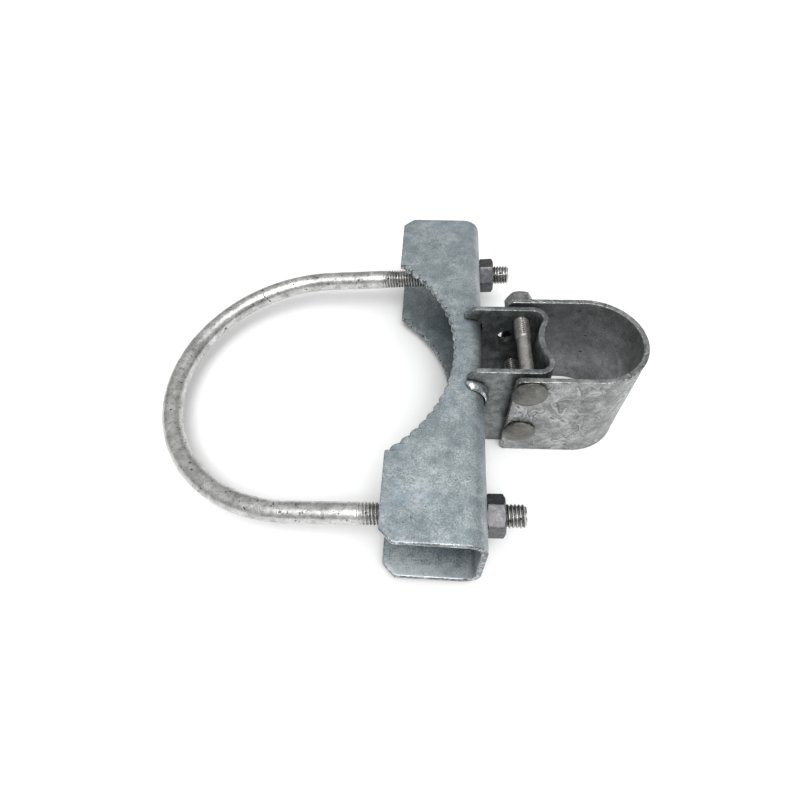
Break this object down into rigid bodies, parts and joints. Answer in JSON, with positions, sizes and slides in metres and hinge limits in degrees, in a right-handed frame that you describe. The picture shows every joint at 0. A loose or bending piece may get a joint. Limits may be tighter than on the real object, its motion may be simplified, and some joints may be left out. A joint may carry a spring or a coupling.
{
  "type": "gate hinge clamp with u-bolt",
  "caption": "Galvanised gate hinge clamp: a U-bolt pulls a toothed saddle channel onto a round post, and a bolted collar strap on a welded bracket holds the gate pipe.",
  "frame": {"origin": "centre of the bounding box of the clamp at rest", "axes": "+Z along the post and the gate pipe, +X from the bend of the U-bolt towards the collar strap, +Y along the saddle channel away from the carriage-bolt heads"},
  "size_m": [0.299, 0.242, 0.0704],
  "materials": {
    "galvanised_plate": "hot-dip galvanised, mottled satin",
    "galvanised_rod": "bright zinc with small pits",
    "dark_nut": "dark grey plated, dull",
    "plated_bolt": "warm grey zinc, satin",
    "weld_metal": "galvanised weld bead, glossy"
  },
  "bodies": {
    "clamp_body": {"saddle_channel": "galvanised_plate", "hinge_bracket": "galvanised_plate", "collar_strap": "galvanised_plate", "weld_near_upper": "weld_metal", "weld_near_lower": "weld_metal", "weld_far_upper": "weld_metal", "weld_far_lower": "weld_metal"},
    "u_bolt": {"u_bolt": "galvanised_rod"},
    "u_bolt_nut_near": {"u_bolt_nut_near": "dark_nut"},
    "u_bolt_nut_far": {"u_bolt_nut_far": "dark_nut"},
    "carriage_bolt_upper": {"carriage_bolt_upper": "plated_bolt"},
    "carriage_bolt_lower": {"carriage_bolt_lower": "plated_bolt"},
    "carriage_nut_upper": {"carriage_nut_upper": "plated_bolt"},
    "carriage_nut_lower": {"carriage_nut_lower": "plated_bolt"}
  },
  "joints": [
    {"name": "u_bolt_draw", "type": "slide", "parent": "clamp_body", "child": "u_bolt", "axis": [0.9966, 0, 0.0819], "range_m": [-0.008, 0.035]},
    {"name": "u_nut_near_turn", "type": "hinge", "parent": "clamp_body", "child": "u_bolt_nut_near", "pos_m": [0.05558, -0.0935, 0], "axis": [-0.9966, 0, -0.0819], "range_deg": [-1475, 6450]},
    {"name": "u_nut_far_turn", "type": "hinge", "parent": "clamp_body", "child": "u_bolt_nut_far", "pos_m": [0.05558, 0.0935, 0], "axis": [-0.9966, 0, -0.0819], "range_deg": [-1475, 6450]},
    {"name": "carriage_bolt_upper_back_off", "type": "slide", "parent": "clamp_body", "child": "carriage_bolt_upper", "axis": [0.0216, -0.9998, 0], "range_m": [0, 0.004]},
    {"name": "carriage_nut_upper_turn", "type": "hinge", "parent": "clamp_body", "child": "carriage_nut_upper", "pos_m": [0.08037, 0.03451, 0.025], "axis": [-0.0216, 0.9998, 0], "range_deg": [0, 908]},
    {"name": "carriage_bolt_lower_back_off", "type": "slide", "parent": "clamp_body", "child": "carriage_bolt_lower", "axis": [0.0216, -0.9998, 0], "range_m": [0, 0.004]},
    {"name": "carriage_nut_lower_turn", "type": "hinge", "parent": "clamp_body", "child": "carriage_nut_lower", "pos_m": [0.08037, 0.03451, -0.0135], "axis": [-0.0216, 0.9998, 0], "range_deg": [0, 908]}
  ],
  "couplings": [
    {"joint": "u_nut_near_turn", "follows": "u_bolt_draw", "rad_per_m": 3215.8},
    {"joint": "u_nut_far_turn", "follows": "u_bolt_draw", "rad_per_m": 3215.8},
    {"joint": "carriage_nut_upper_turn", "follows": "carriage_bolt_upper_back_off", "rad_per_m": 3957.9},
    {"joint": "carriage_nut_lower_turn", "follows": "carriage_bolt_lower_back_off", "rad_per_m": 3957.9}
  ]
}
